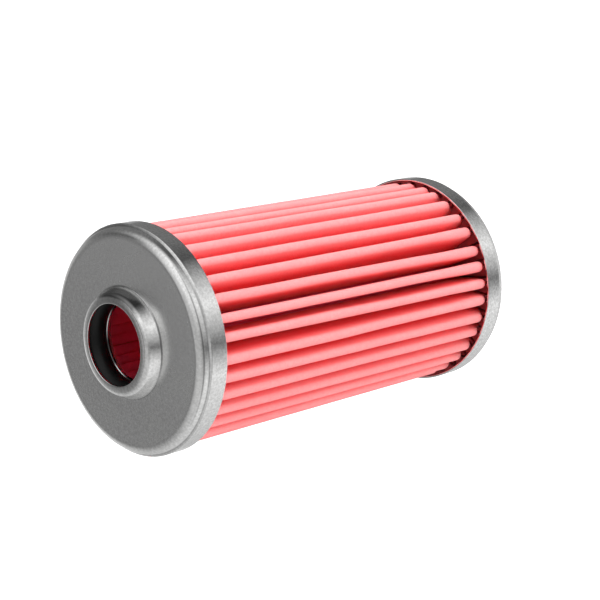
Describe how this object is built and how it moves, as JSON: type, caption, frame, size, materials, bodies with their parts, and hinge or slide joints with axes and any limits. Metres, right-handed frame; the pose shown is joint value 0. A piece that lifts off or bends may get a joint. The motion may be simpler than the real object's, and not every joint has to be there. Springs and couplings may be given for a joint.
{
  "type": "fuel filter",
  "caption": "Cartridge fuel filter element: a ring of pleated paper bonded between a closed steel end cap and an outlet cap with a raised hub and a rubber seal.",
  "frame": {"origin": "centre of the underside of the closed end cap, which the filter stands on", "axes": "+Z along the filter's axis, from the closed end to the outlet hub; the paper's glued seam faces +Y"},
  "size_m": [0.037, 0.037, 0.074],
  "materials": {
    "plated_steel": "bright tin-plated sheet, satin with soft reflections",
    "retainer_steel": "plated, slightly dull",
    "seal_rubber": "black moulded rubber with a soft sheen",
    "filter_paper": "matt resin-treated filter paper, pink-red",
    "potting_adhesive": "cured adhesive, dark red where it has drawn colour from the paper, satin",
    "seam_glue": "cured hot-melt glue, satin"
  },
  "bodies": {
    "root": {"outlet_end_cap": "plated_steel", "closed_end_cap": "plated_steel", "seal_retainer": "retainer_steel", "outlet_seal": "seal_rubber", "pleated_paper": "filter_paper", "outlet_end_potting": "potting_adhesive", "closed_end_potting": "potting_adhesive", "pleat_seam_glue": "seam_glue"}
  },
  "joints": []
}
